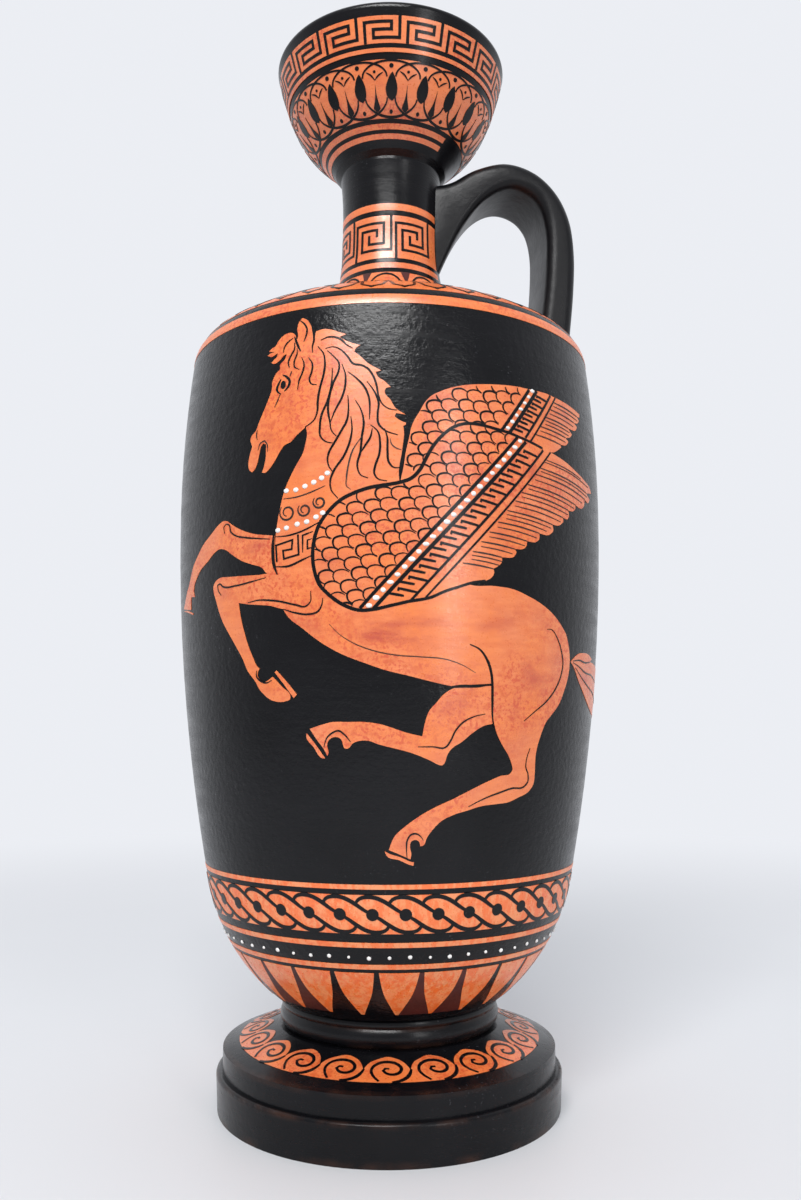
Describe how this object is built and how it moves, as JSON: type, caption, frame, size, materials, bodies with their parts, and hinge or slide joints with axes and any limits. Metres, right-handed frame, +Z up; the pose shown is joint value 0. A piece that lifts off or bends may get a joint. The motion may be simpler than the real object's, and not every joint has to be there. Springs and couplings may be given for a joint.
{
  "type": "lekythos oil flask",
  "caption": "Tall oil flask on a stepped disc foot: ovoid body, sloping shoulder, narrow neck, calyx mouth and a strap handle from neck to shoulder.",
  "frame": {"origin": "centre of the resting ring under the foot", "axes": "+Z up along the vessel's axis, +X towards the handle"},
  "size_m": [0.1196, 0.1196, 0.3],
  "materials": {
    "black_gloss": "black slip with a satin gloss",
    "clay": "fired orange clay"
  },
  "bodies": {
    "root": {"foot": "black_gloss", "foot_slip": "clay", "foot_ring": "black_gloss", "body": "black_gloss", "neck_slip": "clay", "neck": "black_gloss", "mouth_slip": "clay", "mouth": "black_gloss", "handle": "black_gloss", "handle_neck_slip": "clay", "handle_shoulder_slip": "clay"}
  },
  "joints": []
}
